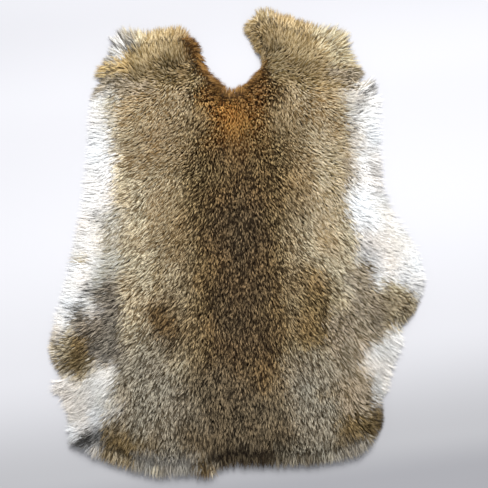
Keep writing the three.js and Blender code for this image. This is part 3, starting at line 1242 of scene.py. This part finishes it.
def strands(
    name: str,
    stations: np.ndarray,
    along: np.ndarray,
    widths: np.ndarray,
    roll: np.ndarray,
    form: CoatForm,
    own: np.ndarray,
) -> Object:
    """Builds hairs as narrow ribbons that end in a point, in one mesh.

    Args:
        name: The piece's name.
        stations: Middle line of each hair: hairs, stations from root to tip, and x, y, z.
        along: Share of the length at each station.
        widths: Width of each hair at each station but the last.
        roll: Turn of each hair's flat face about its own line, in radians.
        form: The coat's form, whose slope the hair's shading follows in part.
        own: Share of each hair's shading that follows its own faces.

    Returns:
        The object, with the share of the length stored as "along" and each hair's own cell of the
        OFBake map.
    """
    hairs, steps = stations.shape[:2]
    run = np.gradient(stations, axis=1)
    run /= np.linalg.norm(run, axis=2, keepdims=True)
    flat = np.cross(run, UP)
    flat /= np.maximum(np.linalg.norm(flat, axis=2, keepdims=True), 1e-6)
    proud = np.cross(flat, run)
    turn = roll[:, None, None]
    across = flat * np.cos(turn) + proud * np.sin(turn)
    half = across[:, :-1] * widths[..., None] / 2
    left, right = stations[:, :-1] - half, stations[:, :-1] + half
    vertices = np.concatenate((np.stack((left, right), 2).reshape(hairs, -1, 3), stations[:, -1:]), 1)
    each = vertices.shape[1]
    ring = 2 * np.arange(steps - 2)[:, None]
    quads = np.concatenate((ring + [0, 1, 3], ring + [0, 3, 2]))
    pattern = np.concatenate((quads, [[each - 3, each - 2, each - 1]]))
    triangles = (pattern[None] + each * np.arange(hairs)[:, None, None]).reshape(-1, 3)
    made = mesh_object(name, vertices.reshape(-1, 3), triangles)

    outward = np.cross(across, run)
    ground = form.slope(stations[:, -1, :2])[:, None]
    own = own[:, None, None]
    shading = own * outward + (1 - own) * ground
    shading /= np.linalg.norm(shading, axis=2, keepdims=True)
    per_vertex = np.concatenate((np.repeat(shading[:, :-1], 2, 1), shading[:, -1:]), 1).reshape(-1, 3)
    made.data.normals_split_custom_set_from_vertices(per_vertex.tolist())

    share = np.append(np.repeat(along[:-1], 2), along[-1])
    measure(made.data, "along", np.tile(share, hairs))
    # The map's cells lie in a square, and each hair keeps a margin in its own
    side = math.ceil(math.sqrt(hairs))
    cell = np.stack(np.divmod(np.arange(hairs), side), 1)
    u = np.append(np.tile([0.15, 0.85], steps - 1), 0.5)
    v = 0.1 + 0.8 * share
    place = (cell[:, None] + np.stack((u, v), 1)[None]) / side
    chart = made.data.uv_layers.new(name="OFBake")
    chart.data.foreach_set("uv", place.reshape(-1, 2)[triangles.ravel()].astype(np.float32).ravel())
    return made


def dye(made: Object, colours: dict[str, np.ndarray]) -> None:
    """Stores each hair's colours on its vertices.

    Args:
        made: The hairs.
        colours: A linear colour for each hair under each of HAIR_PARTS.
    """
    for part in HAIR_PARTS:
        each = len(made.data.vertices) // len(colours[part])
        paint(made.data, part, np.repeat(colours[part], each, axis=0))


def ticked(
    found: dict[str, np.ndarray], tone: np.ndarray, least_dark: float, rng: np.random.Generator
) -> dict[str, np.ndarray]:
    """Gives each hair its colours: its place's, pale or dark with its tuft.

    Args:
        found: The coat's colours at each hair.
        tone: Each hair's tuft's tone, from 0 to 1, dark where it is below the coat's share of dark.
        least_dark: How dark the tips of the pale tufts' hairs are.
        rng: Source of each hair's own difference.

    Returns:
        A linear colour for each hair under each of HAIR_PARTS.
    """
    tone_spread, tone_step, light_spread, darkest_band = 0.07, 0.14, 0.12, 0.9
    own = tone + rng.normal(0, tone_spread, len(tone))
    dark = smooth_step((found["dark"] - own) / tone_step + 0.5)[:, None]
    bright = np.exp(rng.normal(0, light_spread, len(tone)))[:, None]
    to_dark = found["tip"] - found["band"]
    return {
        "under": found["under"] * bright,
        "band": (found["band"] + to_dark * dark * darkest_band) * bright,
        "tip": (found["band"] + to_dark * np.maximum(dark, least_dark)) * bright,
    }


def own_shading(found: dict[str, np.ndarray], most: float) -> np.ndarray:
    """Gives how far each hair's shading is its own: less in pale hair, which light passes through."""
    return most * (1 - 0.65 * found["band"].mean(1))


@dataclass(frozen=True)
class Habit:
    """How one kind of hair grows.

    Args:
        reach: How far it reaches, as a share of the longest kind's reach.
        rise: How far it stands out of the coat.
        tip_dark: How dark its tips are in pale tufts, from 0 to 1.
    """

    reach: float
    rise: float
    tip_dark: float


class Growth(Enum):
    """The two kinds of hair that a rabbit grows."""

    WOOL = Habit(0.86, 0.0, 0.1)
    GUARD = Habit(1.0, 0.7, 0.3)


@dataclass(kw_only=True)
class HairPiece:
    """Hairs in one mesh.

    Args:
        name: The piece's name.
        form: The coat's height.
        colours: The coat's colours.
        finish: The hair's material.
        growth: Wool, or guard hair, which is longer, stands out more and carries the dark tips.
        seed: Picks each hair's place, way and width.
        width: Of a hair, drawn some five times as wide as it is, to cover the hide.
        taper: Width at each station but the last, as a share of that.
        along: Share of the length at each station.
        spread: How far a hair's root is from its tuft's or its lock's.
        sway: How far the lie strays from the nap's or the tuft's, in radians.
        wobble: How far a hair's bends are off its straight line.
        roll: How far its flat face is turned, in radians.
        own_shading: Share of its shading that follows its own faces, in black hair.
    """

    name: str
    form: CoatForm
    colours: CoatColours
    finish: Hair
    growth: Growth = Growth.WOOL
    seed: int
    width: float
    taper: tuple[float, ...]
    along: tuple[float, ...]
    spread: float
    sway: float
    wobble: float = 0.2
    roll: float
    own_shading: float


@dataclass(kw_only=True)
class HairLayer(HairPiece):
    """One layer of the coat: a hair from each tuft, all over the pelt.

    Args:
        tufts: The tufts.
        pale_width: How much wider the palest hair is drawn, as its colour hides less.
        gathered: How far a tuft's tips come together, from 0 to 1.
        shortest: Reach of the shortest hair, as a share of its tuft's.
        rise: How far a hair stands above or below its tuft.
        low_coat: Height of the coat below which its hairs rise less.
        bend: How far along it a hair bends.
        bend_rise: How much of a hair's rise its bend has.
        sag: How far below the coat's surface the bend is.
        root_depth: How far below the coat's surface a hair leaves the underfur.
    """

    tufts: Tufts
    width: float = 0.37
    taper: tuple[float, ...] = (0.8, 1.0)
    along: tuple[float, ...] = (0.0, 0.5, 1.0)
    spread: float = 0.36
    sway: float = 0.06
    roll: float = 0.4
    own_shading: float = 0.68
    pale_width: float = 0.8
    gathered: float = 0.7
    shortest: float = 0.75
    rise: float = 0.4
    low_coat: float = 6.0
    bend: float = 0.48
    bend_rise: float = 0.4
    sag: float = 2.8
    root_depth: float = 8.0

    def build(self) -> Object:
        """Builds the layer.

        Returns:
            The layer's hairs.
        """
        rng = np.random.default_rng(self.seed)
        tufts, habit = self.tufts, self.growth.value
        count = len(tufts.roots)
        offset = rng.normal(0, self.spread, (count, 2))
        root = tufts.roots + offset
        angle = tufts.lie + rng.normal(0, self.sway, count)
        reach = tufts.reach * rng.uniform(self.shortest, 1.0, count) * habit.reach
        lie = np.column_stack((np.cos(angle), np.sin(angle)))
        tip = root + lie * reach[:, None] - offset * self.gathered
        bend = root * (1 - self.bend) + tip * self.bend + rng.normal(0, self.wobble, (count, 2))
        lift = tufts.lift + rng.normal(0, self.rise, count) + habit.rise
        tip_coat, bend_coat = self.form.at(tip), self.form.at(bend)
        tip_z = tip_coat + lift * np.minimum(tip_coat / self.low_coat, 1)
        bend_z = bend_coat - self.sag + lift * self.bend_rise * np.minimum(bend_coat / self.low_coat, 1)
        heights = (
            np.maximum(self.form.at(root) - self.root_depth, ROOT_LEVEL),
            np.maximum(bend_z, BEND_LEVEL),
            np.maximum(tip_z, self.form.least),
        )
        line = np.stack([np.column_stack(station) for station in zip((root, bend, tip), heights)], 1)
        roll = rng.normal(0, self.roll, count)
        found = self.colours.at(tip + tufts.stray)
        own = own_shading(found, self.own_shading)
        widths = self.width * rng.uniform(*WIDTHS, (count, 1)) * np.array([self.taper])
        # The fourth power leaves all but the palest hair as it is
        widths *= 1 + self.pale_width * found["band"].mean(1, keepdims=True) ** 4
        made = strands(self.name, line, np.array(self.along), widths, roll, self.form, own)
        dye(made, ticked(found, tufts.tone, habit.tip_dark, rng))
        made.data.materials.append(self.finish.make())
        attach(made, "root")
        return made


@dataclass(kw_only=True)
class Fringe(HairPiece):
    """The hair that hangs over the hide's edge, in small pointed locks that droop to the floor.

    Args:
        edge: The hide's edge.
        nap: How the rim's hair lies.
        locks: How many locks there are.
        per_lock: Hairs in a lock.
        inset: How far in from the edge the locks are rooted at most.
        lengths: Reach of the shortest and the longest lock, as shares of the nap's.
        tip_spread: How far a hair's tip is from its lock's, as a share of what its root is.
        ragged: How far short of its lock's tip a hair ends at most.
        mixed: How far a hair's level differs from its lock's, where 1 is the coat's whole height.
        root_depth: How far below the coat's surface the highest hairs leave the underfur.
        root_rise: How far over the hide they do so, at least.
        lowest_tip: Height of the lowest tips, as a share of the coat's.
        droop: How late along it a hair droops, where 1 is evenly.
        bow: How far it bows up.
        clear: Least height of a hair over the floor.
        tail_lift: How far the hair at the tail end stands off the floor, which throws its shadow there.
        tail_from: How far from the middle towards the tail end that starts.
        tail_over: Over which length it grows.
        shown_at: How far along it the place is whose colours a hair has.
        astray: How far off that place is for a lock, so that borders mix lock by lock.
    """

    edge: Edge
    nap: Nap
    name: str = "rim_hair"
    seed: int = 91
    width: float = 0.3
    taper: tuple[float, ...] = (1.0, 0.95, 0.6)
    along: tuple[float, ...] = (0.0, 0.35, 0.7, 1.0)
    spread: float = 0.5
    sway: float = 0.2
    roll: float = 0.2
    own_shading: float = 0.5
    locks: int = 8500
    per_lock: int = 4
    inset: float = 7.0
    lengths: tuple[float, float] = (0.55, 1.15)
    tip_spread: float = 0.7
    ragged: float = 3.0
    mixed: float = 0.1
    root_depth: float = 3.0
    root_rise: float = 0.6
    lowest_tip: float = 0.25
    droop: float = 1.3
    bow: float = 1.5
    clear: float = 0.3
    tail_lift: float = 3.0
    tail_from: float = 150.0
    tail_over: float = 30.0
    shown_at: float = 0.6
    astray: float = 2.0

    def build(self) -> Object:
        """Builds the fringe.

        Returns:
            The fringe's hairs.
        """
        rng = np.random.default_rng(self.seed)
        rim = self.edge.walk(rng.uniform(0, 1, self.locks))
        angle, reach = self.nap.at(rim)
        angle = angle + rng.normal(0, self.sway, self.locks)
        way = np.column_stack((np.cos(angle), np.sin(angle)))
        lock_root = rim - way * rng.uniform(0, self.inset, (self.locks, 1))
        lock_tip = rim + way * (reach * rng.uniform(*self.lengths, self.locks))[:, None]
        level, tone = rng.uniform(0, 1, (2, self.locks))

        lock = np.repeat(np.arange(self.locks), self.per_lock)
        count = len(lock)
        root = lock_root[lock] + rng.normal(0, self.spread, (count, 2))
        tip = lock_tip[lock] + rng.normal(0, self.spread * self.tip_spread, (count, 2))
        tip -= way[lock] * rng.uniform(0, self.ragged, (count, 1))
        high = np.clip(level[lock] + rng.normal(0, self.mixed, count), 0, 1)
        line = self.line(root, tip, high)
        line[:, 1:-1, :2] += rng.normal(0, self.wobble, (count, len(self.along) - 2, 2))
        widths = self.width * rng.uniform(*WIDTHS, (count, 1)) * np.array([self.taper])
        roll = rng.normal(0, self.roll, count)
        shown = rim[lock] * (1 - self.shown_at) + tip * self.shown_at
        found = self.colours.at(shown + rng.normal(0, self.astray, (self.locks, 2))[lock])
        own = own_shading(found, self.own_shading)
        made = strands(self.name, line, np.array(self.along), widths, roll, self.form, own)
        dye(made, ticked(found, tone[lock], self.growth.value.tip_dark, rng))
        made.data.materials.append(self.finish.make())
        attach(made, "root")
        return made

    def line(self, root: np.ndarray, tip: np.ndarray, high: np.ndarray) -> np.ndarray:
        """Bows each hair up from the hide and lets it droop to the floor.

        Args:
            root: Where each hair starts, seen from above.
            tip: Where it ends, seen from above.
            high: Its level in the rim, from 0 at the bottom to 1 at the top.

        Returns:
            Middle line of each hair: hairs, stations from root to tip, and x, y, z.
        """
        root_z = ROOT_LEVEL + high * np.maximum(self.form.at(root) - self.root_depth, self.root_rise)
        lift = self.tail_lift * smooth_step((-self.tail_from - tip[:, 1]) / self.tail_over)
        tip_z = self.form.at(tip) * (self.lowest_tip + (1 - self.lowest_tip) * high)
        tip_z = np.maximum(tip_z, self.form.least + lift)
        stations = []
        for share in self.along:
            bow = self.bow * math.sin(math.pi * share) * (1 - share / 2)
            height = root_z + (tip_z - root_z) * share**self.droop + bow
            place = root + (tip - root) * share
            stations.append(np.column_stack((place, np.maximum(height, self.clear))))
        return np.stack(stations, 1)


# The studio


@dataclass
class Studio:
    """A pale floor, soft light from the head end, and the camera above.

    Args:
        paper: The floor's material.
        reach: How far the floor reaches from the middle to each side.
        drop: How far the floor is below the pelt, so that the two faces don't meet.
        sky: Colour of the light from all round.
        sky_strength: Its strength.
        softbox: Where the soft light hangs.
        softbox_side: Its side.
        softbox_watts: Its power.
        aim: Where the camera looks, from DATUM.
        aim_height: Height of that place over the floor.
        elevation: Of the camera over the floor, in degrees.
        view_width: Width of the floor that it sees.
        lens: Its focal length.
        sensor: Width of its sensor.
    """

    paper: StudioPaper = StudioPaper()
    reach: float = 3000.0
    drop: float = 0.05
    sky: tuple[float, ...] = (0.97, 0.98, 1.0, 1)
    sky_strength: float = 0.61
    softbox: tuple[float, float, float] = (20, 1100, 950)
    softbox_side: float = 700.0
    softbox_watts: float = 40.0
    aim: tuple[float, float] = (5.5, -2.6)
    aim_height: float = 6.0
    elevation: float = 89.0
    view_width: float = 414.8
    lens: float = 100.0
    sensor: float = 36.0

    def build(self) -> None:
        """Builds the floor, the lights and the camera."""
        self.floor()
        self.lights()
        self.camera()

    def floor(self) -> None:
        """Lays the floor, one sheet of studio paper."""
        corners = np.array([(-1, -1), (1, -1), (1, 1), (-1, 1)]) * self.reach
        vertices = np.column_stack((corners, np.full(4, -self.drop)))
        board = mesh_object("floor", vertices, np.array([(0, 1, 2), (0, 2, 3)]))
        board.data.materials.append(self.paper.make())

    def lights(self) -> None:
        """Hangs a square soft light past the head end, with pale light from all round."""
        world = bpy.data.worlds.new("Studio")
        world.use_nodes = True
        sky = world.node_tree.nodes["Background"]
        sky.inputs["Color"].default_value = self.sky
        sky.inputs["Strength"].default_value = self.sky_strength
        bpy.context.scene.world = world
        softbox = bpy.data.lights.new("Softbox", "AREA")
        softbox.size = self.softbox_side * MM
        softbox.energy = self.softbox_watts
        place = Vector(self.softbox)
        self.hang("Softbox", softbox, place, -place)

    def camera(self) -> None:
        """Hangs the camera over the pelt, tipped a little towards the tail end."""
        lens = bpy.data.cameras.new("Camera")
        lens.lens = self.lens
        lens.sensor_width = self.sensor
        tilt = math.radians(self.elevation)
        away = self.view_width * self.lens / self.sensor
        back = Vector((0, -math.cos(tilt), math.sin(tilt)))
        aim = Vector((*(np.array(self.aim) + DATUM), self.aim_height))
        bpy.context.scene.camera = self.hang("Camera", lens, aim + back * away, -back)

    @staticmethod
    def hang(name: str, data: ID, place: Vector, way: Vector) -> Object:
        """Hangs a light or a camera in the scene.

        Args:
            name: Its name.
            data: The light or the camera.
            place: Where it hangs.
            way: Way in which it faces.

        Returns:
            The object.
        """
        hung = bpy.data.objects.new(name, data)
        hung.location = place * MM
        hung.rotation_euler = way.to_track_quat("-Z", "Y").to_euler()
        bpy.context.scene.collection.objects.link(hung)
        return hung


def main() -> None:
    """Builds the pelt's pieces in order, from the floor up, and the studio round them."""
    logging.basicConfig(level=logging.INFO, format="%(name)s: %(message)s")
    bpy.context.scene.view_settings.view_transform = "Standard"
    edge = Edge()
    form = CoatForm()
    colours = CoatColours()
    tufts = Tufts(edge, Nap.of_coat())
    wool = Hair("Rabbit_wool", band_from=0.42, tip_from=0.86)
    guard = Hair("Rabbit_guard_hair", band_from=0.4, tip_from=0.6)
    hide = Hide(edge)
    sheet = hide.build()
    pieces = [Underfur(edge, form, colours).build()]
    coat = {"form": form, "colours": colours}
    layers = [
        HairLayer(name=f"wool_{number}", tufts=tufts, finish=wool, seed=seed, **coat)
        for number, seed in enumerate((81, 82, 83), 1)
    ]
    outer = {"growth": Growth.GUARD, "finish": guard, "seed": 84, "width": 0.34}
    layers.append(HairLayer(name="guard_hair", tufts=tufts, **outer, **coat))
    layers.append(Fringe(edge=edge, nap=Nap.of_rim(), finish=wool, **coat))
    pieces += [layer.build() for layer in layers]
    for piece in (sheet, *pieces):
        log.info("%s: %d faces", piece.name, len(piece.data.polygons))
    Studio().build()


if __name__ == "__main__":
    main()
